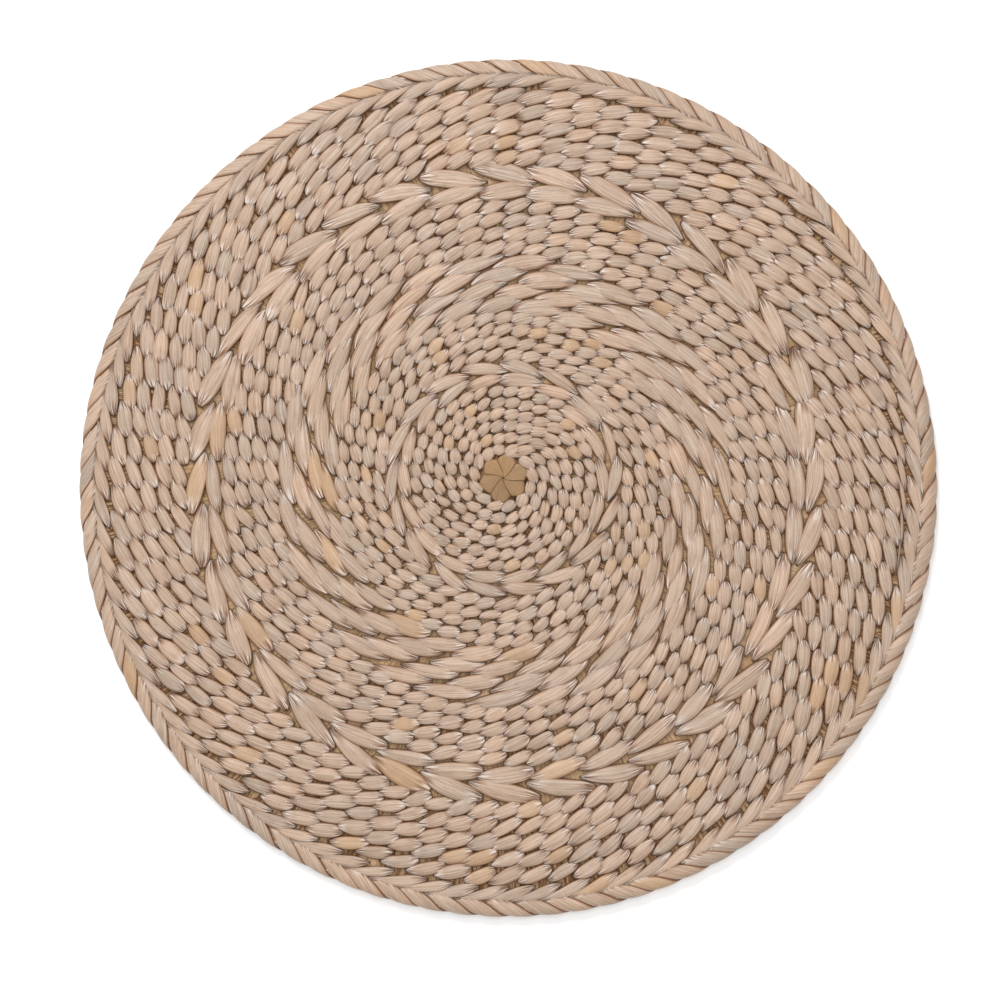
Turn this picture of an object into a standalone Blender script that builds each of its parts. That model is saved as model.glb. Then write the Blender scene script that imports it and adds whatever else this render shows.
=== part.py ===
"""Chair seat pad: a round pad twined from flat leaf strands over radial leaf spokes.

Lying flat, underside on z = 0, middle of the rim on the Z axis.  A folded six-point star starts the weave.
Two strands, one over and one under the spokes, wind outward round it as a spiral.  They are cut and renewed at
the end of every band of the pattern.  A plait over, a plait under and a braid round the edge finish the rim.
"""

import math

import bmesh
import bpy

# Driving dimensions, metres and degrees
PAD_RADIUS = 0.190
STRAND_THICK = 0.0034
SPOKE_THICK = 0.0022
GAP = 0.0003
STAR_RADIUS = 0.0102
STAR_SHIFT_X = -0.0024
STAR_SHIFT_Y = 0.0044

# Bands of the weave from the star outward: name, rounds, width of a round, stations in a turn
BANDS = (
    ("heart", 6, 0.0052, 16),
    ("inner_chevron_a", 1, 0.0053, 32),
    ("inner_chevron_b", 1, 0.0058, 32),
    ("inner_fine", 4, 0.0055, 32),
    ("broad", 4, 0.0064, 32),
    ("outer_fine", 4, 0.0064, 32),
    ("outer_chevron_a", 1, 0.0071, 32),
    ("outer_chevron_b", 1, 0.0084, 32),
    ("border_fine", 5, 0.0070, 32),
)
PLAIT_WIDTH = 0.0075
PLAIT_STATIONS = 64
EDGE_LEAVES = 90
EDGE_SCALLOP = 0.0007

# The rounds climb outward by one row in a short sector that drifts round with the radius
STEP_FIRST = 300.0
STEP_DRIFT = 62.0
STEP_WIDTH = 56.0 / 360.0

# A strand is crowned: its outward face is narrower than its bed by this much at each side
CROWN = 0.0010

# Spokes come in groups of two; each pair divides outward as more leaf is laid in beside it
SPOKE_PAIRS = 18
SPOKE_INNER = 0.0108
SPOKE_SPREAD = 0.0030
SPOKE_MAX_WIDTH = 0.0046
SPOKE_FILL = 0.70
SPOKE_TRIM = 0.0003
SPOKE_CROWN = 0.0003
DIVIDE_RADII = (0.0525, 0.1001, 0.1412)

# Heights of the layers
UNDER_LOW = 0.0
UNDER_HIGH = STRAND_THICK
SPOKE_LOW = UNDER_HIGH + GAP
SPOKE_HIGH = SPOKE_LOW + SPOKE_THICK
OVER_LOW = SPOKE_HIGH + GAP
OVER_HIGH = OVER_LOW + STRAND_THICK

WIDTHS = [width for _, rounds, width, _ in BANDS for _ in range(rounds)]
WEAVE_RADIUS = STAR_RADIUS + sum(WIDTHS)
PLAIT_RADIUS = WEAVE_RADIUS + PLAIT_WIDTH

DRY_LEAF = (0.62, 0.47, 0.34)
PALE_LEAF = (0.68, 0.54, 0.41)
SPOKE_LEAF = (0.50, 0.36, 0.23)
STAR_LEAF = (0.36, 0.23, 0.12)
RIM_LEAF = (0.60, 0.46, 0.34)


for old in list(bpy.data.objects):
    bpy.data.objects.remove(old, do_unlink=True)

pad = bpy.data.collections.new("chair_seat_pad")
bpy.context.scene.collection.children.link(pad)


def leaf_material(name, colour, roughness):
    material = bpy.data.materials.new(name)
    material.use_nodes = True
    shader = material.node_tree.nodes["Principled BSDF"]
    shader.inputs["Base Color"].default_value = (*colour, 1.0)
    shader.inputs["Roughness"].default_value = roughness
    return material


def add_piece(name, mesh, colour, roughness=0.75):
    """Close the mesh with outward faces and add it to the pad as one named piece."""
    bmesh.ops.recalc_face_normals(mesh, faces=mesh.faces)
    if mesh.calc_volume(signed=True) < 0.0:
        bmesh.ops.reverse_faces(mesh, faces=mesh.faces)
    data = bpy.data.meshes.new(name)
    mesh.to_mesh(data)
    mesh.free()
    data.materials.append(leaf_material(name + "_leaf", colour, roughness))
    piece = bpy.data.objects.new(name, data)
    pad.objects.link(piece)
    return piece


def place(radius, clockwise, height):
    """Point of the pad; rounds are centred on the star near it and on the rim at the edge."""
    angle = -math.radians(clockwise)
    pull = 1.0 - (radius / PAD_RADIUS) ** 2
    x = STAR_SHIFT_X * pull + radius * math.cos(angle)
    y = STAR_SHIFT_Y * pull + radius * math.sin(angle)
    return (x, y, height)


def ease(value):
    value = min(max(value, 0.0), 1.0)
    return value * value * (3.0 - 2.0 * value)


def step_turn(index):
    """Place of the step up out of round `index`, in turns along the spiral."""
    radius = STAR_RADIUS + sum(WIDTHS[:index])
    return index + (STEP_FIRST + STEP_DRIFT * radius / PAD_RADIUS) / 360.0


STEPS = [step_turn(index) for index in range(len(WIDTHS) + 1)]


def row_edge(turn):
    """Radius of the spiral line that parts neighbouring rounds."""
    radius = STAR_RADIUS
    for step, width in zip(STEPS, WIDTHS):
        radius += width * ease((turn - step) / STEP_WIDTH + 0.5)
    return radius


def loft(sections, closed):
    """Skin a run of equal sections; an open run gets a cap at each end."""
    mesh = bmesh.new()
    rings = [[mesh.verts.new(point) for point in section] for section in sections]
    pairs = list(zip(rings, rings[1:]))
    if closed:
        pairs.append((rings[-1], rings[0]))
    for first, second in pairs:
        count = len(first)
        for i in range(count):
            j = (i + 1) % count
            mesh.faces.new((first[i], first[j], second[j], second[i]))
    if not closed:
        mesh.faces.new(rings[0])
        mesh.faces.new(reversed(rings[-1]))
    return mesh


def strand_section(turn, at_turn, bed, face):
    """Crowned section of a strand lying between two passes of the row edge line."""
    inner = row_edge(turn - 1.0) + GAP / 2.0
    outer = row_edge(turn) - GAP / 2.0
    crown = min(CROWN, 0.3 * (outer - inner))
    angle = 360.0 * at_turn
    return (
        place(inner, angle, bed),
        place(outer, angle, bed),
        place(outer - crown, angle, face),
        place(inner + crown, angle, face),
    )


def strand(name, first, last, stations, bed, face, colour):
    """One weaving strand from its start to its cut end, as a spiral ribbon."""
    start = math.floor(first * stations) + 1
    stop = math.ceil(last * stations)
    turns = [first] + [i / stations for i in range(start, stop)] + [last]
    tuck = GAP / (2.0 * math.pi * row_edge(first))
    places = list(turns)
    places[0] = first + tuck
    places[-1] = last - tuck
    sections = [strand_section(t, p, bed, face) for t, p in zip(turns, places)]
    return add_piece(name, loft(sections, closed=False), colour)


# Weaving strands, band by band
row = 0
last_row = len(WIDTHS)
for name, rounds, width, stations in BANDS:
    first = STEPS[row]
    last = STEPS[row + rounds]
    if row == 0:
        first = STEPS[0] - 0.25 * STEP_WIDTH
    if row + rounds == last_row:
        last = STEPS[last_row - 1] + 1.0 + 0.25 * STEP_WIDTH
    first = round(first * 32.0) / 32.0
    last = round(last * 32.0) / 32.0
    strand("strand_" + name + "_over", first, last, stations, OVER_LOW, OVER_HIGH, PALE_LEAF)
    strand("strand_" + name + "_under", first, last, stations, UNDER_HIGH, UNDER_LOW, DRY_LEAF)
    row += rounds


def strap_width(radius, count):
    """A strap fills part of its share of the circle, up to the width of the leaf."""
    return min(SPOKE_FILL * 2.0 * math.pi * radius / count, SPOKE_MAX_WIDTH)


def strap_section(mesh, radius, angle, count):
    """Section across a strap: under edge, under ridge, under edge, upper edge, upper ridge, upper edge."""
    half = math.degrees(0.5 * strap_width(radius, count) / radius)
    trim = math.degrees(SPOKE_TRIM / radius)
    points = (
        place(radius, angle - half, SPOKE_LOW + SPOKE_CROWN),
        place(radius, angle, SPOKE_LOW),
        place(radius, angle + half, SPOKE_LOW + SPOKE_CROWN),
        place(radius, angle + half - trim, SPOKE_HIGH - SPOKE_CROWN),
        place(radius, angle, SPOKE_HIGH),
        place(radius, angle - half + trim, SPOKE_HIGH - SPOKE_CROWN),
    )
    return [mesh.verts.new(point) for point in points]


def skin(mesh, first, second):
    """Join two sections of a strap."""
    for i in range(6):
        j = (i + 1) % 6
        mesh.faces.new((first[i], first[j], second[j], second[i]))


def fork(mesh, trunk, before, after):
    """Join a strap's last section to the first sections of two straps; its ridge becomes the crotch."""
    mesh.faces.new((trunk[0], trunk[1], before[1], before[0]))
    mesh.faces.new((trunk[1], before[2], before[1]))
    mesh.faces.new((trunk[1], after[1], after[0]))
    mesh.faces.new((trunk[1], trunk[2], after[2], after[1]))
    mesh.faces.new((trunk[2], trunk[3], after[3], after[2]))
    mesh.faces.new((trunk[3], trunk[4], after[4], after[3]))
    mesh.faces.new((trunk[4], after[5], after[4]))
    mesh.faces.new((trunk[4], before[4], before[3]))
    mesh.faces.new((trunk[4], trunk[5], before[5], before[4]))
    mesh.faces.new((trunk[5], trunk[0], before[0], before[5]))
    mesh.faces.new((trunk[1], trunk[4], before[3], before[2]))
    mesh.faces.new((trunk[4], trunk[1], after[0], after[5]))


def grow(mesh, levels, level, slot):
    """Skin a strap from one dividing radius outward, with the straps that branch from it; gives its first section.

    `levels` holds, for each level, how many straps lie round the pad and the angles of this spoke's own ones;
    `slot` is the strap's place among them.
    """
    count, angles = levels[level]
    start = SPOKE_INNER if level == 0 else DIVIDE_RADII[level - 1] + SPOKE_SPREAD
    end = PLAIT_RADIUS - 2.0 * GAP
    if level < len(DIVIDE_RADII):
        end = DIVIDE_RADII[level] - SPOKE_SPREAD
    radii = [start, end]
    if level == 0:
        radii = [start, 0.5 * (start + end), end]
    sections = [strap_section(mesh, radius, angles[slot], count) for radius in radii]
    for first, second in zip(sections, sections[1:]):
        skin(mesh, first, second)
    if level == len(DIVIDE_RADII):
        mesh.faces.new(sections[-1])
        return sections[0]
    shares = len(levels[level + 1][1])
    children = [i for i in range(shares) if i * len(angles) // shares == slot]
    grown = [grow(mesh, levels, level + 1, child) for child in children]
    if len(grown) == 1:
        skin(mesh, sections[-1], grown[0])
    else:
        fork(mesh, sections[-1], grown[0], grown[1])
    return sections[0]


def spoke(name, levels):
    mesh = bmesh.new()
    mesh.faces.new(reversed(grow(mesh, levels, 0, 0)))
    return add_piece(name, mesh, SPOKE_LEAF, 0.7)


# Spokes: two, three, four, then five straps in each group; the first spoke holds one, one, two, two of them
for pair in range(SPOKE_PAIRS):
    group = 360.0 / SPOKE_PAIRS
    turned = pair * group
    steady = []
    dividing = []
    for straps, own in ((2, 1), (3, 1), (4, 2), (5, 2)):
        share = group / straps
        angles = [turned + share * (i + 0.5) for i in range(straps)]
        steady.append((straps * SPOKE_PAIRS, angles[:own]))
        dividing.append((straps * SPOKE_PAIRS, angles[own:]))
    spoke(f"spoke_{2 * pair + 1:02d}", steady)
    spoke(f"spoke_{2 * pair + 2:02d}", dividing)


def star():
    """Folded six-point pinwheel that starts the weave."""
    tip = STAR_RADIUS - GAP
    notch = 0.66 * tip
    outline = []
    for petal in range(6):
        middle = 60.0 * petal + 40.0
        outline.append((notch, middle - 30.0, -0.0008))
        outline.append((0.90 * tip, middle - 14.0, -0.0003))
        outline.append((tip, middle, -0.0004))
        outline.append((0.84 * tip, middle + 14.0, -0.0007))
    low = SPOKE_LOW - 0.0022
    high = SPOKE_HIGH + 0.0022
    mesh = bmesh.new()
    bottom = [mesh.verts.new(place(r, a, low - drop)) for r, a, drop in outline]
    top = [mesh.verts.new(place(r, a, high + drop)) for r, a, drop in outline]
    below = mesh.verts.new(place(0.0, 0.0, low))
    above = mesh.verts.new(place(0.0, 0.0, high))
    count = len(outline)
    for i in range(count):
        j = (i + 1) % count
        mesh.faces.new((bottom[i], bottom[j], top[j], top[i]))
        mesh.faces.new((below, bottom[j], bottom[i]))
        mesh.faces.new((above, top[i], top[j]))
    return add_piece("centre_star", mesh, STAR_LEAF, 0.65)


star()


def rim_plait(name, bed, face):
    """Flat plait that covers the ends of the spokes on one face of the pad."""
    inner = WEAVE_RADIUS + GAP / 2.0
    outer = PLAIT_RADIUS - GAP / 2.0
    sections = []
    for i in range(PLAIT_STATIONS):
        angle = 360.0 * i / PLAIT_STATIONS
        sections.append((
            place(inner, angle, bed),
            place(outer, angle, bed),
            place(outer - CROWN, angle, face),
            place(inner + CROWN, angle, face),
        ))
    return add_piece(name, loft(sections, closed=True), RIM_LEAF)


rim_plait("rim_plait_over", OVER_LOW, OVER_HIGH)
rim_plait("rim_plait_under", UNDER_HIGH, UNDER_LOW)


def edge_braid():
    """Braid of folded leaves round the edge, gently scalloped, one scallop to a leaf."""
    inner = PLAIT_RADIUS + GAP / 2.0
    shoulder = 0.0018
    sections = []
    for i in range(2 * EDGE_LEAVES):
        angle = 180.0 * i / EDGE_LEAVES
        outer = PAD_RADIUS - EDGE_SCALLOP * (i % 2)
        sections.append((
            place(inner, angle, UNDER_LOW + 0.0006),
            place(outer - shoulder, angle, UNDER_LOW + 0.0010),
            place(outer, angle, 0.5 * OVER_HIGH),
            place(outer - shoulder, angle, OVER_HIGH - 0.0010),
            place(inner, angle, OVER_HIGH - 0.0006),
        ))
    return add_piece("rim_edge_braid", loft(sections, closed=True), RIM_LEAF, 0.7)


edge_braid()
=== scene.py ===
import math
from typing import NamedTuple

import bpy
import numpy as np
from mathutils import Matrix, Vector


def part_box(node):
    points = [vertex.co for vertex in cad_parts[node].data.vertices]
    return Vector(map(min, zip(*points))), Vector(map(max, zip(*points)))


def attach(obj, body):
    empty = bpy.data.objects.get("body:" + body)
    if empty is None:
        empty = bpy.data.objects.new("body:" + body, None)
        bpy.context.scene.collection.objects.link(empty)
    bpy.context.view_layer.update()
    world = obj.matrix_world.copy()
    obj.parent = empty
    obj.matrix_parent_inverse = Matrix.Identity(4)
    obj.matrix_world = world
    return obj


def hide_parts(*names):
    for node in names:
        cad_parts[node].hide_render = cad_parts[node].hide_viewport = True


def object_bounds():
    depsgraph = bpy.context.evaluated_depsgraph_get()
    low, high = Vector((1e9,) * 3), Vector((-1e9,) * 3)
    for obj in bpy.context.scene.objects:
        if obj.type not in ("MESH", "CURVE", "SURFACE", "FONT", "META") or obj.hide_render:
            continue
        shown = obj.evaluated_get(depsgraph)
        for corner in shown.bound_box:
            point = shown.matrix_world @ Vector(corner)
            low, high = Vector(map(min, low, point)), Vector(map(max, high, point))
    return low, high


# Looks of a round seat pad twined from dried leaf. Every stitch, spoke strap, rim leaf and petal is a closed
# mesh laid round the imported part; the materials are procedural. Sizes in mm are for a pad of 190 mm radius.
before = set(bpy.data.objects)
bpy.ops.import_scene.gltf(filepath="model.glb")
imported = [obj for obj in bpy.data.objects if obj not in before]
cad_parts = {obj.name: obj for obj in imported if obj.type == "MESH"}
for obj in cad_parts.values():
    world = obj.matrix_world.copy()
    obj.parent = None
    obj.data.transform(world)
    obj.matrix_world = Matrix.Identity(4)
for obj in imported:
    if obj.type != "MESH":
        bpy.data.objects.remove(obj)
cad_box = [list(map(float, corner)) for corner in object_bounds()]

# ---------------------------------------------------------------- sizes read from the part
edge_low, edge_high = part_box("rim_edge_braid")
spoke_low, spoke_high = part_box("spoke_01")
weave_low, weave_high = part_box("strand_broad_under")[0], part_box("strand_broad_over")[1]
PAD_R = 0.5 * (edge_high.x - edge_low.x)
MM = PAD_R / 190.0
MID = 0.5 * (spoke_low.z + spoke_high.z)
TOP = weave_high.z
HALF = 0.5 * (TOP - weave_low.z)
# how far the star sits off the middle of the rim
SHIFT = (-2.4 * MM, 4.4 * MM)


class Band(NamedTuple):
    """Rounds that share one kind of stitch; shares are of the width of a round unless they say otherwise."""

    name: str
    width: float  # of a round, mm
    counts: tuple  # stitches in each round
    twist: int  # 1 where stitches run outward clockwise, -1 the other way
    centred: float  # where in its share of the circle a stitch is centred
    fill: float  # stitch width, as a share
    travel: float  # radial travel each way, as a share
    reach: float  # visible length, as a share of the spacing

    def long_stitched(self):
        return len(self.counts) == 1 or self.name == "broad"


BANDS = (
    Band("heart", 5.2, (13, 19, 24, 26, 32, 36), 1, 0.5, 1.01, 0.30, 1.20),
    Band("inner_chevron_a", 5.3, (18,), 1, 0.0, 1.14, 0.24, 1.24),
    Band("inner_chevron_b", 5.8, (18,), -1, 0.0, 1.08, 0.32, 1.24),
    Band("inner_fine", 5.5, (40, 46, 54, 54), 1, 0.5, 1.02, 0.36, 1.27),
    Band("broad", 6.4, (27.5, 27.5, 27.5, 27.5), 1, 0.0, 1.20, 0.54, 1.34),
    Band("outer_fine", 6.4, (72, 72, 72, 72), 1, 0.5, 0.98, 0.40, 1.31),
    Band("outer_chevron_a", 7.1, (36,), 1, 0.0, 1.16, 0.24, 1.24),
    Band("outer_chevron_b", 8.4, (36,), -1, 0.0, 1.06, 0.36, 1.24),
    Band("border_fine", 7.0, (90, 90, 90, 90, 90), 1, 0.5, 0.98, 0.43, 1.38),
)
STAR_R = 10.2 * MM
WIDTHS = np.array([band.width for band in BANDS for _ in band.counts]) * MM
EDGES = STAR_R + np.concatenate(([0.0], np.cumsum(WIDTHS)))
WEAVE_R = EDGES[-1]
PLAIT_R = WEAVE_R + 7.5 * MM
# each round climbs by one row in a short sector, given in turns, that drifts round with the radius
STEP_WIDTH = 56.0 / 360.0
STEPS = np.arange(len(EDGES)) + (300.0 + 62.0 * EDGES / PAD_R) / 360.0
RIM_LEAVES = 90


def place(radius, turn):
    """Plan position at these radii and clockwise turns; rounds shift from the star's centre to the rim's."""
    angle = -2.0 * math.pi * turn
    pull = 1.0 - (radius / PAD_R) ** 2
    return SHIFT[0] * pull + radius * np.cos(angle), SHIFT[1] * pull + radius * np.sin(angle)


def ease(value):
    value = np.clip(value, 0.0, 1.0)
    return value * value * (3.0 - 2.0 * value)


def row_edge(turn):
    """Radius of the spiral line that parts neighbouring rounds."""
    radius = np.full_like(turn, STAR_R)
    for step, width in zip(STEPS, WIDTHS):
        radius += width * ease((turn - step) / STEP_WIDTH + 0.5)
    return radius


# ---------------------------------------------------------------- meshes
def new_object(name, points, quads, fibre, tone, caps=(), edge=None):
    """A mesh piece with its fibre direction, its tone and its painted edge shade stored on its points."""
    mesh = bpy.data.meshes.new(name)
    faces = [tuple(q) for q in caps]
    mesh.vertices.add(len(points))
    mesh.vertices.foreach_set("co", np.asarray(points, np.float32).ravel())
    loops = np.asarray(quads, np.int32).ravel()
    total = len(loops) + sum(len(f) for f in faces)
    mesh.loops.add(total)
    index = np.concatenate([loops] + [np.array(f, np.int32) for f in faces])
    mesh.loops.foreach_set("vertex_index", index)
    sizes = [4] * len(quads) + [len(f) for f in faces]
    starts = np.concatenate(([0], np.cumsum(sizes)[:-1]))
    mesh.polygons.add(len(sizes))
    mesh.polygons.foreach_set("loop_start", starts.astype(np.int32))
    mesh.polygons.foreach_set("use_smooth", np.ones(len(sizes), bool))
    for key, values in (("fibre", fibre), ("tone", tone)):
        layer = mesh.attributes.new(key, "FLOAT_VECTOR", "POINT")
        layer.data.foreach_set("vector", np.asarray(values, np.float32).ravel())
    layer = mesh.attributes.new("edge", "FLOAT", "POINT")
    if edge is not None:
        layer.data.foreach_set("value", np.asarray(edge, np.float32).ravel())
    mesh.update(calc_edges=True)
    mesh.validate()
    piece = bpy.data.objects.new(name, mesh)
    bpy.context.scene.collection.objects.link(piece)
    return piece


def tube_parts(centre, across, up, width, thick, fold, sides, along, shade, square=0.85):
    """Rings of points round a path, and the fibre and tone values that go with them.

    fold is a list of (waves round the section, strength, phase), each strength and phase one value per ring.
    """
    count = len(centre)
    psi = 2.0 * math.pi * np.arange(sides) / sides
    cos, sin = np.cos(psi), np.sin(psi)
    flat = np.sign(sin) * np.abs(sin) ** square
    swell = np.ones((count, sides))
    for waves, strength, phase in fold:
        swell += strength[:, None] * np.cos(waves * psi[None, :] + phase[:, None])
    side = 0.5 * width[:, None] * cos[None, :]
    rise = 0.5 * thick[:, None] * flat[None, :] * swell
    points = centre[:, None, :] + side[:, :, None] * across[:, None, :] + rise[:, :, None] * up[:, None, :]
    fibre = np.stack([
        np.repeat(along[:, None], sides, 1) * 1000.0,
        np.repeat(3.2 * cos[None, :], count, 0),
        np.repeat(1.6 * sin[None, :], count, 0),
    ], -1)
    tone = np.repeat(shade[:, None, :], sides, 1)
    return points.reshape(-1, 3), fibre.reshape(-1, 3), tone.reshape(-1, 3)


def ring_quads(count, sides, first=0):
    i = np.arange(count - 1)[:, None] * sides
    j = np.arange(sides)[None, :]
    k = (j + 1) % sides
    quads = np.stack([i + j, i + k, i + sides + k, i + sides + j], -1).reshape(-1, 4)
    return quads[:, ::-1] + first


def path_frames(centre):
    """Directions across and up for rings along a path that stays roughly level."""
    tangent = np.gradient(centre, axis=0)
    tangent /= np.linalg.norm(tangent, axis=1)[:, None]
    vertical = np.zeros_like(centre)
    vertical[:, 2] = 1.0
    across = np.cross(tangent, vertical)
    across /= np.linalg.norm(across, axis=1)[:, None]
    up = np.cross(across, tangent)
    return across, up


class Pieces:
    """Gathers the closed meshes that make up one piece."""

    def __init__(self):
        self.points, self.quads, self.fibre, self.tone, self.caps, self.edge = [], [], [], [], [], []
        self.first = 0

    def add(self, points, fibre, tone, count, sides, edge=None):
        self.points.append(points)
        self.edge.append(np.zeros(len(points)) if edge is None else edge)
        self.fibre.append(fibre)
        self.tone.append(tone)
        self.quads.append(ring_quads(count, sides, self.first))
        self.caps.append(tuple(self.first + np.arange(sides)))
        self.caps.append(tuple(self.first + (count - 1) * sides + np.arange(sides)[::-1]))
        self.first += len(points)

    def build(self, name, material, *nodes):
        piece = new_object(
            name, np.concatenate(self.points), np.concatenate(self.quads),
            np.concatenate(self.fibre), np.concatenate(self.tone), self.caps, np.concatenate(self.edge),
        )
        piece.data.materials.append(material)
        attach(piece, "root")
        if nodes:
            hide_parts(*nodes)
        return piece


# ---------------------------------------------------------------- materials
def node(tree, kind, **settings):
    made = tree.nodes.new(kind)
    for key, value in settings.items():
        if key.startswith("in_"):
            made.inputs[key[3:].replace("_", " ")].default_value = value
        else:
            setattr(made, key, value)
    return made


def math_node(tree, operation, first, second=None, clamp=False):
    made = tree.nodes.new("ShaderNodeMath")
    made.operation = operation
    made.use_clamp = clamp
    for i, value in enumerate((first, second)):
        if value is None:
            continue
        if isinstance(value, (int, float)):
            made.inputs[i].default_value = value
        else:
            tree.links.new(value, made.inputs[i])
    return made.outputs[0]


def mix_colour(tree, factor, first, second, blend="MIX"):
    made = tree.nodes.new("ShaderNodeMix")
    made.data_type = "RGBA"
    made.blend_type = blend
    for socket, value in ((0, factor), (6, first), (7, second)):
        if isinstance(value, (int, float)):
            made.inputs[socket].default_value = value
        elif isinstance(value, tuple):
            made.inputs[socket].default_value = (*value, 1.0)
        else:
            tree.links.new(value, made.inputs[socket])
    return made.outputs[2]


def ramp(tree, factor, *stops):
    made = tree.nodes.new("ShaderNodeValToRGB")
    made.color_ramp.interpolation = "LINEAR"
    elements = made.color_ramp.elements
    while len(elements) < len(stops):
        elements.new(0.5)
    for element, (position, colour) in zip(elements, stops):
        element.position = position
        element.color = (*colour, 1.0) if isinstance(colour, tuple) else (colour, colour, colour, 1.0)
    tree.links.new(factor, made.inputs[0])
    return made.outputs[0]


def stretched(tree, vector, along, across, detail, rough=0.6):
    """Noise drawn out along the fibre; sizes are per millimetre."""
    scale = tree.nodes.new("ShaderNodeVectorMath")
    scale.operation = "MULTIPLY"
    scale.inputs[1].default_value = (along, across, across)
    tree.links.new(vector, scale.inputs[0])
    noise = node(tree, "ShaderNodeTexNoise", in_Scale=1.0, in_Detail=detail, in_Roughness=rough)
    tree.links.new(scale.outputs[0], noise.inputs["Vector"])
    return noise.outputs["Fac"]


def smooth_range(tree, value, low, high, out_low=0.0, out_high=1.0):
    made = tree.nodes.new("ShaderNodeMapRange")
    made.interpolation_type = "SMOOTHSTEP"
    for i, limit in enumerate((low, high, out_low, out_high)):
        made.inputs[i + 1].default_value = limit
    tree.links.new(value, made.inputs[0])
    return made.outputs[0]


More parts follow.
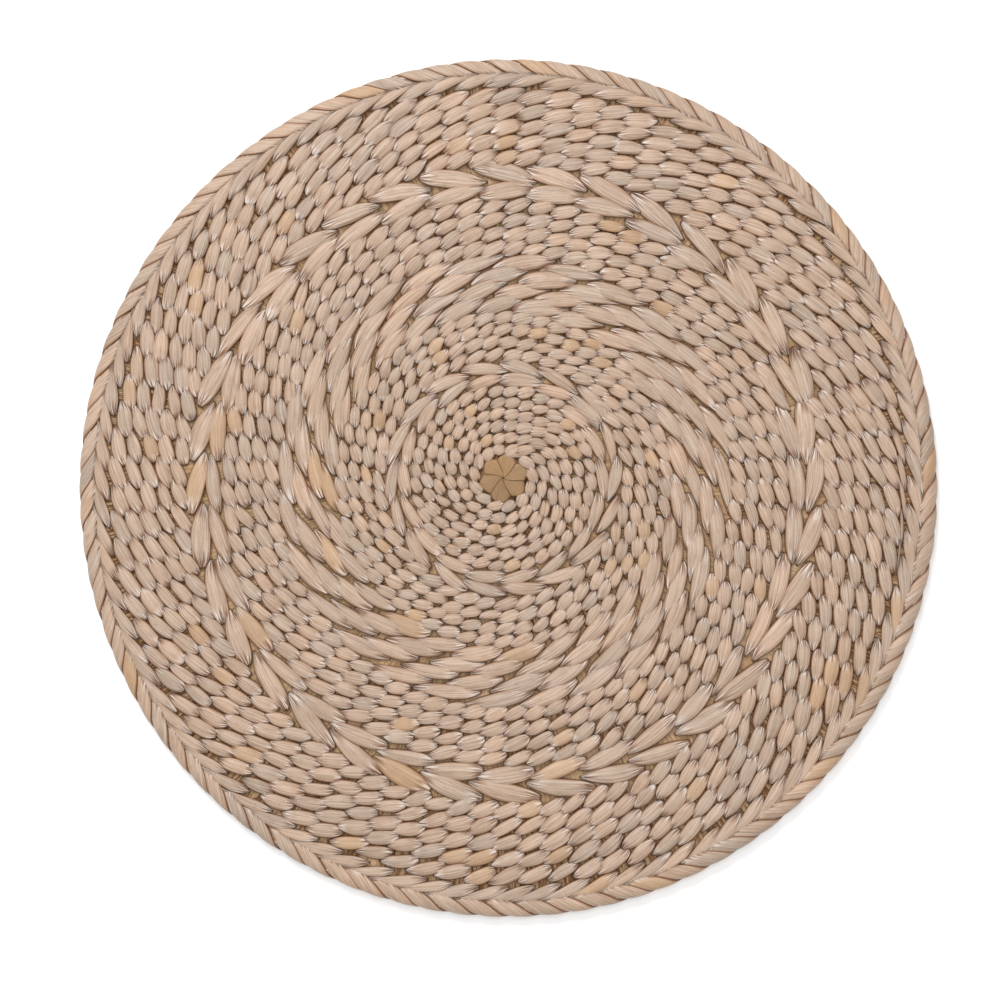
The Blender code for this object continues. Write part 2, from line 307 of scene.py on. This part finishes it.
def leaf_material(name, colours, shade_and_speck, rough=0.5, lines=1.0, pale=(0.73, 0.65, 0.595), gloss=0.38):
    """Dried leaf: its own tone, long ribs, creases gathered at the pinched ends, a satin gloss, painted
    highlight and shade.
    """
    material = bpy.data.materials.new(name)
    material.use_nodes = True
    tree = material.node_tree
    tree.nodes.clear()
    out = tree.nodes.new("ShaderNodeOutputMaterial")
    shader = tree.nodes.new("ShaderNodeBsdfPrincipled")
    fibre = node(tree, "ShaderNodeAttribute", attribute_name="fibre").outputs["Vector"]
    tone = node(tree, "ShaderNodeAttribute", attribute_name="tone").outputs["Vector"]
    edge = node(tree, "ShaderNodeAttribute", attribute_name="edge").outputs["Fac"]
    split = tree.nodes.new("ShaderNodeSeparateXYZ")
    tree.links.new(tone, split.inputs[0])
    shade, hue, pinch = split.outputs
    place_at = tree.nodes.new("ShaderNodeTexCoord").outputs["Object"]
    ribs = stretched(tree, fibre, 0.025, 2.3, 1.0, 0.4)
    threads = stretched(tree, fibre, 0.08, 5.0, 2.0, 0.5)
    crease = stretched(tree, fibre, 0.05, 0.85, 1.0, 0.4)
    wrinkle = stretched(tree, fibre, 0.09, 1.5, 1.0, 0.5)
    cloud = node(tree, "ShaderNodeTexNoise", in_Scale=110.0, in_Detail=3.0, in_Roughness=0.6)
    speck = node(tree, "ShaderNodeTexNoise", in_Scale=1500.0, in_Detail=1.0, in_Roughness=0.4)
    for texture in (cloud, speck):
        tree.links.new(place_at, texture.inputs["Vector"])
    base = ramp(tree, hue, *colours)
    brown = mix_colour(tree, 1.0, base, (0.60, 0.43, 0.30), "MULTIPLY")
    base = mix_colour(tree, 1.0, base, ramp(tree, shade, (0.0, 0.83), (1.0, 1.04)), "MULTIPLY")
    clouds = ramp(
        tree, cloud.outputs["Fac"],
        (0.32, (0.93, 0.90, 0.88)), (0.50, (1.0, 0.99, 0.98)), (0.68, (1.03, 1.04, 1.06)))
    base = mix_colour(tree, 1.0, base, clouds, "MULTIPLY")
    smooth = smooth_range(tree, hue, 0.74, 0.80)
    plain = math_node(tree, "SUBTRACT", 1.0, math_node(tree, "MULTIPLY", smooth, 0.6))
    rib_lines = mix_colour(tree, plain, (1.0, 1.0, 1.0), ramp(
        tree, ribs, (0.36, 1.0 - 0.22 * lines), (0.46, 1.0 - 0.05 * lines), (0.55, 1.0)))
    base = mix_colour(tree, 1.0, base, rib_lines, "MULTIPLY")
    # painted highlight along the raised ribs
    rib_highlight = math_node(tree, "MULTIPLY", smooth_range(tree, ribs, 0.54, 0.70), plain)
    base = mix_colour(tree, math_node(tree, "MULTIPLY", rib_highlight, 0.22 * lines), base, pale)
    thread_lines = ramp(tree, threads, (0.36, 1.0 - 0.20 * lines), (0.54, 1.0))
    base = mix_colour(tree, 1.0, base, thread_lines, "MULTIPLY")
    # painted highlights on the ridges and painted shade in the creases where the leaf is gathered
    gathered = smooth_range(tree, pinch, 0.0, 0.8)
    ridge_highlight = math_node(tree, "MULTIPLY", smooth_range(tree, wrinkle, 0.49, 0.59), gathered)
    base = mix_colour(tree, math_node(tree, "MULTIPLY", ridge_highlight, 0.80), base, pale)
    # dark lines along the creases: painted shade, stronger where the leaf is gathered
    off_line = math_node(tree, "ABSOLUTE", math_node(tree, "SUBTRACT", crease, 0.5))
    line = smooth_range(tree, off_line, 0.012, 0.050, 1.0, 0.0)
    line_strength = math_node(tree, "MULTIPLY_ADD", gathered, 0.66)
    line_strength.node.inputs[2].default_value = 0.20
    line = math_node(tree, "MULTIPLY", math_node(tree, "MULTIPLY", line, line_strength), plain)
    crease_shade = math_node(tree, "MULTIPLY", smooth_range(tree, wrinkle, 0.49, 0.40), gathered)
    base = mix_colour(tree, math_node(tree, "MULTIPLY", crease_shade, 0.85), base, brown)
    line = math_node(tree, "MAXIMUM", line, math_node(tree, "MULTIPLY", crease_shade, 0.45))
    # painted shade where the leaf dips under its neighbour
    tip_shade = smooth_range(tree, pinch, 0.92, 1.0)
    line = math_node(tree, "MAXIMUM", line, math_node(tree, "MULTIPLY", tip_shade, 0.75))
    dots = smooth_range(tree, speck.outputs["Fac"], 0.745, 0.765)
    line = math_node(tree, "MAXIMUM", line, math_node(tree, "MULTIPLY", dots, 0.6))
    # painted shade: the sides that bend down and the underside go brown, then dark
    edge_shade = smooth_range(tree, edge, 0.0, 0.55)
    base = mix_colour(tree, math_node(tree, "MULTIPLY", edge_shade, 0.75), base, brown)
    edge_shade_dark = smooth_range(tree, edge, 0.35, 1.0)
    line = math_node(tree, "MAXIMUM", line, math_node(tree, "MULTIPLY", edge_shade_dark, 0.85))
    # painted shade of creases, dipping ends and edges, and the leaf's own dark specks, all mixed towards one
    # dark colour
    base = mix_colour(tree, line, base, shade_and_speck)
    tree.links.new(base, shader.inputs["Base Color"])
    tree.links.new(ramp(tree, threads, (0.2, rough + 0.14), (0.8, rough - 0.06)), shader.inputs["Roughness"])
    shader.inputs["Specular IOR Level"].default_value = gloss
    shader.inputs["Sheen Weight"].default_value = 0.02
    shader.inputs["Sheen Roughness"].default_value = 0.4
    shader.inputs["Sheen Tint"].default_value = (1.0, 0.82, 0.66, 1.0)
    height = math_node(tree, "MULTIPLY", math_node(tree, "MULTIPLY", ribs, 0.30), plain)
    height = math_node(tree, "ADD", height, math_node(tree, "MULTIPLY", threads, 0.10))
    fold_strength = math_node(tree, "MULTIPLY_ADD", gathered, 1.3)
    fold_strength.node.inputs[2].default_value = 0.12
    height = math_node(tree, "ADD", height, math_node(tree, "MULTIPLY", wrinkle, fold_strength))
    relief = node(tree, "ShaderNodeBump", in_Strength=1.0, in_Distance=0.0009)
    tree.links.new(height, relief.inputs["Height"])
    tree.links.new(relief.outputs["Normal"], shader.inputs["Normal"])
    tree.links.new(shader.outputs[0], out.inputs[0])
    return material


STRAND_COLOURS = (
    (0.00, (0.412, 0.314, 0.240)),
    (0.22, (0.446, 0.327, 0.241)),
    (0.45, (0.472, 0.333, 0.240)),
    (0.68, (0.496, 0.337, 0.234)),
    (0.78, (0.468, 0.314, 0.202)),
    (1.00, (0.432, 0.272, 0.150)),
)
# the straps' own brown, made darker and more saturated as painted shade of the gaps they show in
SPOKE_COLOURS = ((0.0, (0.41, 0.250, 0.125)), (0.6, (0.48, 0.305, 0.165)), (1.0, (0.53, 0.360, 0.205)))
STAR_COLOURS = ((0.0, (0.228, 0.156, 0.068)), (1.0, (0.312, 0.176, 0.080)))
# dark colour of the painted shade, also used for the leaf's own dark specks
SHADE_AND_SPECK = (0.100, 0.034, 0.009)

strand_leaf = leaf_material("strand_leaf", STRAND_COLOURS, SHADE_AND_SPECK, 0.40, 0.8)
rim_leaf = leaf_material("rim_leaf", STRAND_COLOURS, SHADE_AND_SPECK, 0.42, 0.7)
spoke_leaf = leaf_material("spoke_leaf", SPOKE_COLOURS, SHADE_AND_SPECK, 0.6, 1.5, (0.42, 0.28, 0.16), 0.2)
star_leaf = leaf_material("star_leaf", STAR_COLOURS, SHADE_AND_SPECK, 0.5, 0.8, (0.54, 0.40, 0.26), 0.35)


# ---------------------------------------------------------------- stitches
def hues(rng, count):
    """Most leaf is pale beige; a few lengths are yellow or tan."""
    values = rng.beta(2.2, 2.2, count) * 0.72
    odd = rng.random(count) < 0.05
    values[odd] = rng.uniform(0.78, 0.96, odd.sum())
    return values


def leaves(name, cad, material, face, turn, radius, height, left, right, thick, roll, rng, sides, crown=0.58):
    """One closed leaf for each row of these arrays, on the upper face (1) or the under face (-1)."""
    count, rings = turn.shape
    height = height - np.abs(np.sin(roll)) * 0.85 * np.maximum(left, right)
    x, y = place(radius, turn)
    centre = np.stack([x, y, MID + face * height], -1)
    tangent = np.gradient(centre, axis=1)
    tangent /= np.linalg.norm(tangent, axis=2)[..., None]
    vertical = np.zeros_like(centre)
    vertical[..., 2] = face
    across = np.cross(tangent, vertical)
    across /= np.linalg.norm(across, axis=2)[..., None]
    up = np.cross(across, tangent)
    cos, sin = np.cos(roll)[..., None], np.sin(roll)[..., None]
    across, up = across * cos + up * sin, up * cos - across * sin
    psi = 2.0 * math.pi * (np.arange(sides) + 0.5) / sides
    cos = np.sign(np.cos(psi)) * np.abs(np.cos(psi)) ** 0.8
    sin = np.sign(np.sin(psi)) * np.abs(np.sin(psi)) ** 0.72
    side = np.where(cos > 0, left[..., None] * cos, right[..., None] * cos)
    tilt = rng.normal(0.0, 0.14, (count, 1, 1)).clip(-0.3, 0.3)
    tilt = tilt * cos - np.abs(tilt)
    rise = thick[..., None] * sin * np.where(sin > 0, crown, 1.0 - crown) * (1.0 + tilt)
    points = centre[:, :, None, :] + side[..., None] * across[:, :, None, :]
    points = points + rise[..., None] * up[:, :, None, :]
    steps = np.linalg.norm(np.diff(centre, axis=1), axis=2)
    along = np.concatenate([np.zeros((count, 1)), np.cumsum(steps, 1)], 1) * 1000.0
    along = along - 0.5 * along[:, -1:] + rng.uniform(-400.0, 400.0, (count, 1))
    offset = rng.uniform(-50.0, 50.0, (count, 1, 1))
    shape = (count, rings, sides)
    fibre = np.stack([
        np.broadcast_to(along[..., None], shape), np.broadcast_to(3.2 * cos + offset, shape),
        np.broadcast_to(1.6 * sin + offset, shape)], -1)
    q = np.linspace(-1.0, 1.0, rings)
    pinch = np.clip((np.abs(q) - 0.35) / 0.65, 0.0, 1.0)[None, :, None]
    tone = np.stack([
        np.broadcast_to(rng.beta(4.0, 2.4, (count, 1, 1)), shape),
        np.broadcast_to(hues(rng, count)[:, None, None], shape), np.broadcast_to(pinch, shape)], -1)
    one = ring_quads(rings, sides)
    first = np.arange(count) * rings * sides
    quads = (one[None] + first[:, None, None]).reshape(-1, 4)
    ring = np.arange(sides)
    starts = first[:, None] + ring
    ends = first[:, None] + (rings - 1) * sides + ring[::-1]
    # painted shade on the underside, on the sides that bend down and at the very ends
    side_shade = np.where(np.sin(psi) < 0.0, 1.0, np.clip((np.abs(np.cos(psi)) - 0.78) / 0.18, 0.0, 1.0) * 0.95)
    side_shade = np.maximum(side_shade[None, :], np.clip((np.abs(q) - 0.95) / 0.05, 0.0, 1.0)[:, None])
    piece = new_object(name, points.reshape(-1, 3), quads, fibre.reshape(-1, 3), tone.reshape(-1, 3),
                       [tuple(c) for c in np.concatenate([starts, ends])], np.broadcast_to(side_shade[None], shape))
    piece.data.materials.append(material)
    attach(piece, "root")
    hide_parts(cad)
    return piece


def outline(q, power):
    """Half width of a stitch as a share: blunt where it starts, drawn to a point where it dips under."""
    tip = np.where(q < 0.0, 0.26, 0.10)
    power = power * np.where(q < 0.0, 1.30, 0.78)
    return tip + (1.0 - tip) * (1.0 - np.abs(q) ** power)


def weave_band(band, row, face, part_name, rng):
    """The visible stitches of one strand of a band; each runs on under its neighbours to the next."""
    counts = band.counts
    last_row = len(WIDTHS)
    start, end = STEPS[row], STEPS[row + len(counts)]
    if row == 0:
        start = STEPS[0] - 0.25 * STEP_WIDTH
    if row + len(counts) == last_row:
        end = STEPS[last_row - 1] + 1.0 + 0.25 * STEP_WIDTH
    spare = 0.12
    fine = np.linspace(start - spare, end + spare, 8000)
    middles = np.arange(len(counts)) + row + 1.4
    rate = np.interp(fine, middles, counts)
    passed = np.concatenate(([0.0], np.cumsum(0.5 * (rate[1:] + rate[:-1]) * np.diff(fine))))
    # where the count settles, stitches sit over the spokes
    passed += end * counts[-1] - band.centred - np.interp(end, fine, passed)
    low, high = np.interp((start, end), fine, passed) + np.array([-0.3, 0.3])
    centres = np.arange(math.ceil(low), math.floor(high) + 1)
    count = len(centres)
    # bands of few stitches have long ones, which take a finer mesh
    if count < 120:
        rings, sides = 26, 16
    elif count > 320:
        rings, sides = 16, 12
    else:
        rings, sides = 18, 14
    spread = rng.normal(0.0, 0.03, count)
    q = np.linspace(-1.0, 1.0, rings)[None, :]
    half = 0.5 * band.reach * rng.normal(1.0, 0.045, count).clip(0.88, 1.12)
    p = q * half[:, None]
    turn = np.interp((centres + spread)[:, None] + p, passed, fine)
    inner, outer = row_edge(turn - 1.0), row_edge(turn)
    at = rings // 2
    pitch = (outer - inner)[:, at:at + 1]
    lean = band.travel / (0.5 * band.reach) * rng.normal(1.0, 0.10, (count, 1))
    curve = rng.normal(0.0, 0.035, (count, 1)) * (1.0 - q ** 2)
    drift = rng.normal(0.0, 0.025, (count, 1))
    radius = 0.5 * (inner + outer) + pitch * (face * band.twist * lean * p + curve + drift)
    size = rng.normal(1.0, 0.07, (count, 1)).clip(0.84, 1.16)
    skew = rng.normal(0.0, 0.13, (count, 1))
    q_left = np.clip(q + skew * (1.0 - q ** 2), -1.0, 1.0)
    q_right = np.clip(q - skew * (1.0 - q ** 2), -1.0, 1.0)
    fullest = 3.2 if band.long_stitched() else 3.8
    left_power, right_power = rng.uniform(2.0, fullest, (2, count, 1))
    left = 0.5 * band.fill * pitch * size * outline(face * q_left, left_power)
    right = 0.5 * band.fill * pitch * size * outline(face * q_right, right_power)
    thick = (1.1 + 1.9 * (1.0 - np.abs(q) ** 2.4)) * MM * rng.normal(1.0, 0.05, (count, 1)).clip(0.9, 1.08)
    thick = np.minimum(thick, 1.3 * (left + right))
    rise = rng.uniform(0.0, 0.35, (count, 1))
    height = HALF - (0.06 + rise + 1.9 * np.abs(q) ** 2.3) * MM - 0.58 * thick
    roll = rng.normal(0.0, 0.09, (count, 1)) + 0.16 * face * band.twist * q
    cad = f"strand_{band.name}_{part_name}"
    leaves(f"leaf_{band.name}_{part_name}", cad, strand_leaf, face, turn, radius, height,
           left, right, thick, roll, rng, sides)


row = 0
for number, band in enumerate(BANDS):
    weave_band(band, row, 1.0, "over", np.random.default_rng(100 + number))
    weave_band(band, row, -1.0, "under", np.random.default_rng(200 + number))
    row += len(band.counts)


# ---------------------------------------------------------------- spokes
DIVIDE_R = (52.5 * MM, 100.1 * MM, 141.2 * MM)
PAIRS = 18
# strength of the painted shade on the straps under the fine rounds
STRAP_SHADE = 0.93


def painted_strap_shade(radius):
    """Painted shade lies on a strap under the fine rounds; under the open long rounds it is left unshaded."""
    dark = np.ones_like(radius)
    first = 0
    for band in BANDS:
        last = first + len(band.counts)
        if band.long_stitched():
            step = 0.5 * (WIDTHS[first] + WIDTHS[last - 1])
            inner, outer = EDGES[first] - step * 0.4, EDGES[last] + step * 0.4
            rise = 1.5 * MM
            dark *= 1.0 - ease((radius - inner) / rise + 0.5) * ease((outer - radius) / rise + 0.5)
        first = last
    return STRAP_SHADE * dark


def strap(gathered, rng, angle_from, angle_to, start, end, count):
    """A flat leaf strap running outward, lightly ribbed along its length."""
    steps = 22
    s = np.linspace(0.0, 1.0, steps)
    radius = start + (end - start) * s
    turn = angle_from + (angle_to - angle_from) * ease(s * 5.0)
    x, y = place(radius, turn)
    height = np.full(steps, MID + rng.normal(0.0, 0.00008))
    centre = np.stack([x, y, height], -1)
    across, up = path_frames(centre)
    wide = 1.06 * 2.0 * math.pi * radius / count
    thick = np.full(steps, 2.1 * MM)
    fold = [(6, np.full(steps, 0.10), np.full(steps, rng.uniform(0, 6.3)))]
    # the third tone value is the strap's painted shade
    shade = np.stack([
        np.full(steps, rng.beta(4.0, 3.0)), np.full(steps, rng.beta(1.6, 2.0)), painted_strap_shade(radius),
    ], -1)
    along = radius + rng.uniform(0, 2)
    points, fibre, tone = tube_parts(centre, across, up, wide, thick, fold, 18, along, shade, 0.6)
    gathered.add(points, fibre, tone, steps, 18)


for pair in range(PAIRS):
    own_angles = ([], [])
    for straps, own in ((2, 1), (3, 1), (4, 2), (5, 2)):
        share = 1.0 / (PAIRS * straps)
        angles = [pair / PAIRS + share * (i + 0.5) for i in range(straps)]
        own_angles[0].append((straps * PAIRS, angles[:own]))
        own_angles[1].append((straps * PAIRS, angles[own:]))
    for which in (0, 1):
        number = 2 * pair + which + 1
        rng = np.random.default_rng(500 + number)
        gathered = Pieces()
        limits = (8.2 * MM,) + DIVIDE_R + (PLAIT_R - 0.6 * MM,)
        before = None
        for level, (count, angles) in enumerate(own_angles[which]):
            for i, angle in enumerate(angles):
                source = angle
                if before is not None:
                    source = before[min(i * len(before) // len(angles), len(before) - 1)]
                first = limits[level] if level == 0 else limits[level] - 4.0 * MM
                strap(gathered, rng, source, angle, first, limits[level + 1] + 3.0 * MM * (level < 3), count)
            before = angles
        gathered.build(f"strap_{number:02d}", spoke_leaf, f"spoke_{number:02d}")


# ---------------------------------------------------------------- rim
def plait(name, face, rng):
    """Leaves that rise pinched from the last round and thin out along the seam with the edge braid."""
    q = np.linspace(-1.0, 1.0, 24)[None, :]
    count = RIM_LEAVES
    centres = (np.arange(count)[:, None] + 0.5 + rng.normal(0.0, 0.05, (count, 1))) / RIM_LEAVES
    half = rng.normal(1.0, 0.05, (count, 1)) / RIM_LEAVES
    turn = centres + face * q * half
    t = 0.5 * (q + 1.0)
    radius = WEAVE_R + (0.9 + 6.4 * (1.0 - (1.0 - t) ** 1.35) + rng.normal(0.0, 0.12, (count, 1))) * MM
    swell = 1.0 - np.clip(1.0 - t / 0.36, 0.0, 1.0) ** 2.0
    taper = 1.0 - np.clip((t - 0.30) / 0.70, 0.0, 1.0) ** 1.5
    body = swell * taper
    size = rng.normal(1.0, 0.07, (count, 1))
    wide = (0.5 + 5.2 * body * size) * MM
    thick = np.minimum((1.1 + 1.7 * body) * MM, wide)
    height = HALF - (0.10 + 1.9 * np.clip(1.0 - t / 0.34, 0.0, 1.0) ** 1.8 + 0.8 * t ** 3) * MM - 0.58 * thick
    roll = np.broadcast_to(-face * (0.10 + rng.normal(0.0, 0.05, (count, 1))), turn.shape)
    leaves("leaf_" + name, name, rim_leaf, face, turn, radius, height,
           0.5 * wide, 0.5 * wide, thick, roll, rng, 14)


plait("rim_plait_over", 1.0, np.random.default_rng(31))
plait("rim_plait_under", -1.0, np.random.default_rng(32))


def edge_braid(rng):
    """Broad leaves that wrap over the edge at a slant from seam to seam, each lapping on its neighbour."""
    gathered = Pieces()
    tube_r = PLAIT_R + 0.6 * MM
    # the outline that the leaves are laid on, by length along it from the outermost point
    phi = np.radians(np.linspace(-150.0, 150.0, 601))
    out = (PAD_R - tube_r - 1.40 * MM) * np.sign(np.cos(phi)) * np.abs(np.cos(phi)) ** 0.72
    rise = (HALF - 1.85 * MM) * np.sign(np.sin(phi)) * np.abs(np.sin(phi)) ** 0.72
    girth = np.concatenate(([0.0], np.cumsum(np.hypot(np.diff(out), np.diff(rise)))))
    girth -= girth[300]
    normal_out, normal_up = np.gradient(rise, girth), -np.gradient(out, girth)
    seam = np.interp(math.radians(97.0), phi, girth)
    girdle = 2.0 * math.pi * (tube_r + 3.0 * MM)
    spacing = girdle / RIM_LEAVES
    slant = math.radians(31.0)
    thick = 1.1 * MM
    steps, sides = 40, 24
    psi = 2.0 * math.pi * (np.arange(sides) + 0.5) / sides
    cos = (np.sign(np.cos(psi)) * np.abs(np.cos(psi)) ** 0.8)[None, :]
    sin = (np.sign(np.sin(psi)) * np.abs(np.sin(psi)) ** 0.7)[None, :]
    # painted shade on the underside and on the sides that bend down
    side_shade = np.where(sin < 0.0, 1.0, np.clip((np.abs(np.cos(psi))[None, :] - 0.74) / 0.18, 0.0, 1.0) * 0.98)
    for leaf in range(RIM_LEAVES):
        size = rng.normal(1.14, 0.04)
        at = (leaf + rng.normal(0.0, 0.04)) / RIM_LEAVES
        share = np.linspace(-1.0, 1.0, steps)[:, None]
        arc = share * (seam + 1.3 * MM)
        late = np.clip((np.abs(share) - 0.62) / 0.38, 0.0, 1.0)
        aside = 0.5 * spacing * size * (1.0 - 0.30 * late ** 2) * cos
        round_edge = arc / math.tan(slant) + aside
        lift = (0.30 + 0.80 * (1.0 - np.abs(cos) ** 2.4) - 0.42 * cos - 1.1 * late ** 3) * MM
        crumple = np.cos(3.0 * psi + rng.uniform(0, 6.3))[None, :] * late
        lift = lift + 0.5 * thick * sin + 0.10 * MM * crumple
        nose, crest = np.interp(arc, girth, normal_out), np.interp(arc, girth, normal_up)
        radius = tube_r + np.interp(arc, girth, out) + nose * lift
        height = MID + np.interp(arc, girth, rise) + crest * lift
        turn = at + round_edge / girdle
        x, y = place(radius, turn)
        shape = (steps, sides)
        points = np.stack([x, y, height], -1)
        run = (arc * math.sin(slant) + round_edge * math.cos(slant)) * 1000.0 + rng.uniform(-300.0, 300.0)
        over = (arc * math.cos(slant) - round_edge * math.sin(slant)) * 1000.0 + rng.uniform(-50.0, 50.0)
        fibre = np.stack([run, over, np.broadcast_to(sin, shape)], -1)
        tone = np.stack([
            np.full(shape, rng.beta(4.0, 2.6)), np.full(shape, hues(rng, 1)[0]),
            np.broadcast_to(np.clip((np.abs(share) - 0.72) / 0.28, 0.0, 1.0) * 0.8, shape)], -1)
        gathered.add(points.reshape(-1, 3), fibre.reshape(-1, 3), tone.reshape(-1, 3), steps, sides,
                     np.broadcast_to(side_shade, shape).ravel())
    # the bundle of spoke ends that the braid wraps
    steps, sides = 361, 12
    turn = np.linspace(0.0, 1.0, steps)
    x, y = place(np.full(steps, PLAIT_R + 2.9 * MM), turn)
    centre = np.stack([x, y, np.full(steps, MID)], -1)
    across, up = path_frames(centre)
    shade = np.tile([0.2, 0.9, 0.55], (steps, 1))
    points, fibre, tone = tube_parts(
        centre, across, up, np.full(steps, 5.4 * MM), np.full(steps, 7.0 * MM), [], sides, turn * 1.18, shade)
    gathered.add(points, fibre, tone, steps, sides)
    gathered.build("leaf_rim_edge", rim_leaf, "rim_edge_braid")


edge_braid(np.random.default_rng(33))


# ---------------------------------------------------------------- star
# Petals of the folded star: where the seam with the petal before lies, in degrees clockwise, how far out it
# reaches in mm, then the same two of the petal's tip
PETALS = (
    (8, 9.5, 38, 11.5), (66, 8.6, 98, 12.0), (129, 9.1, 166, 10.9),
    (192, 8.5, 222, 10.8), (252, 8.7, 281, 11.7), (311, 8.8, 342, 11.7),
)


def star(rng):
    """Six folded petals in a pinwheel, each lapping over the next, the same on both faces."""
    gathered = Pieces()
    columns, rows = 17, 14
    for face in (1.0, -1.0):
        for number, (seam, seam_r, tip_at, tip_r) in enumerate(PETALS):
            next_seam, next_r = PETALS[(number + 1) % 6][:2]
            wide = (next_seam - seam) % 360
            peak = ((tip_at - seam) % 360) / wide
            u = 0.5 - 0.5 * np.cos(np.linspace(0.0, math.pi, columns))[:, None]
            v = np.linspace(0.03, 1.0, rows)[None, :]
            base = seam_r + (next_r - seam_r) * u
            bow = np.where(u < peak, (peak - u) / peak, (u - peak) / (1.0 - peak))
            reach = (base + (tip_r - base) * (1.0 - bow ** 1.25) - 0.15) * MM
            turn = (seam + wide * u + 20.0 * (1.0 - v) ** 1.3 - 10.0 * v * (1.0 - v)) / 360.0
            radius = reach * v
            x, y = place(radius, turn)
            side = np.minimum(u, 1.0 - u)
            edge = np.clip(side / 0.02, 0.0, 1.0) ** 0.6 * np.clip((1.0 - v) / 0.06, 0.0, 1.0) ** 0.6
            fold = 0.16 * np.exp(-((u - 0.84) / 0.05) ** 2)
            lift = 3.3 + 0.45 * (u - 0.5) + 0.35 * (1.0 - (2.0 * u - 1.0) ** 2) * v - 0.30 * v ** 2 - fold
            height = MID + face * (lift - 0.3 * (1.0 - edge)) * MM
            top = np.stack([x, y, height + 0.0 * u], -1)
            low = np.stack([x, y, np.full_like(x, MID + face * 1.2 * MM)], -1)
            points = np.concatenate([top.reshape(-1, 3), low.reshape(-1, 3)])
            angle = math.radians(-tip_at)
            along = (x * math.cos(angle) + y * math.sin(angle)) * 1000.0 + 40.0 * number
            cross = (y * math.cos(angle) - x * math.sin(angle)) * 1000.0 + 15.0 * number
            fibre = np.stack([along, 1.3 * cross, 0.0 * cross], -1).reshape(-1, 3)
            dark = np.clip(1.0 - side / 0.008, 0.0, 1.0) * 0.5 + 0.0 * v
            tone = np.stack([
                np.full_like(x, rng.uniform(0.3, 1.0)), np.full_like(x, rng.random()), dark,
            ], -1).reshape(-1, 3)
            i, j = np.meshgrid(np.arange(columns - 1), np.arange(rows - 1), indexing="ij")
            corner = (i * rows + j).ravel()
            upper = np.stack([corner, corner + 1, corner + rows + 1, corner + rows], -1)
            shift = columns * rows
            lower = upper[:, ::-1] + shift
            rim = np.concatenate([
                np.arange(rows - 1), (rows - 1) + rows * np.arange(columns - 1),
                (columns - 1) * rows + np.arange(rows - 1, 0, -1), rows * np.arange(columns - 1, 0, -1),
            ])
            following = np.roll(rim, -1)
            walls = np.stack([rim, rim + shift, following + shift, following], -1)
            quads = np.concatenate([upper, lower, walls])
            if face > 0:
                quads = quads[:, ::-1]
            gathered.points.append(points)
            gathered.fibre.append(np.concatenate([fibre, fibre]))
            gathered.tone.append(np.concatenate([tone, tone]))
            gathered.edge.append(np.zeros(len(points)))
            gathered.quads.append(quads[:, ::-1] + gathered.first)
            gathered.first += len(points)
    steps = 10
    s = np.linspace(-1.0, 1.0, steps)
    centre = np.stack([
        np.full(steps, SHIFT[0]), np.full(steps, SHIFT[1]), MID + s * 1.9 * MM], -1)
    across = np.tile([1.0, 0.0, 0.0], (steps, 1))
    up = np.tile([0.0, 1.0, 0.0], (steps, 1))
    core = np.full(steps, 21.4 * MM)
    # a pinch of 1 paints the core disc dark: painted shade in the gap round the star
    shade = np.tile([0.0, 0.3, 1.0], (steps, 1))
    points, fibre, tone = tube_parts(centre, across, up, core, core, [], 24, s * 0.002, shade, 1.0)
    gathered.add(points, fibre, tone, steps, 24)
    gathered.build("folded_star", star_leaf, "centre_star")


star(np.random.default_rng(34))


# ---------------------------------------------------------------- studio
FLOOR_GAP = 0.0002
FLOOR_HALF = 3.0
floor_mesh = bpy.data.meshes.new("floor")
corners = [(x * FLOOR_HALF, y * FLOOR_HALF, 0.0) for x, y in ((-1, -1), (1, -1), (1, 1), (-1, 1))]
floor_mesh.from_pydata(corners, [], [(0, 1, 2, 3)])
floor = bpy.data.objects.new("floor", floor_mesh)
floor.location = (0.0, 0.0, cad_box[0][2] - FLOOR_GAP)
bpy.context.scene.collection.objects.link(floor)
floor_material = bpy.data.materials.new("floor_white")
floor_material.use_nodes = True
floor_shader = floor_material.node_tree.nodes["Principled BSDF"]
floor_shader.inputs["Base Color"].default_value = (0.93, 0.93, 0.93, 1.0)
floor_shader.inputs["Roughness"].default_value = 0.9
floor_shader.inputs["Specular IOR Level"].default_value = 0.1
floor_mesh.materials.append(floor_material)

world = bpy.data.worlds.new("studio")
world.use_nodes = True
world.node_tree.nodes["Background"].inputs[0].default_value = (1.0, 1.0, 1.0, 1.0)
world.node_tree.nodes["Background"].inputs[1].default_value = 0.50
bpy.context.scene.world = world


def area_light(name, location, size, power):
    """A square softbox aimed at the pad."""
    light = bpy.data.lights.new(name, "AREA")
    light.shape = "SQUARE"
    light.size = size
    light.energy = power
    lamp = bpy.data.objects.new(name, light)
    lamp.location = location
    lamp.rotation_euler = (-Vector(location)).to_track_quat("-Z", "Y").to_euler()
    bpy.context.scene.collection.objects.link(lamp)


area_light("key", (-0.50, 1.15, 1.45), 0.7, 22.0)
area_light("overhead", (0.0, 0.1, 2.2), 1.5, 30.0)

LENS = 90.0
SENSOR = 36.0
FRAME_WIDTH = 441.9 * MM
camera_data = bpy.data.cameras.new("camera")
camera_data.lens = LENS
camera_data.sensor_width = SENSOR
camera = bpy.data.objects.new("camera", camera_data)
camera.location = (-3.76 * MM, -5.30 * MM, TOP + FRAME_WIDTH * LENS / SENSOR)
camera.rotation_euler = (0.0, 0.0, 0.0)
camera_data.clip_start = 0.01
bpy.context.scene.collection.objects.link(camera)
bpy.context.scene.camera = camera
bpy.context.scene.view_settings.view_transform = "Standard"
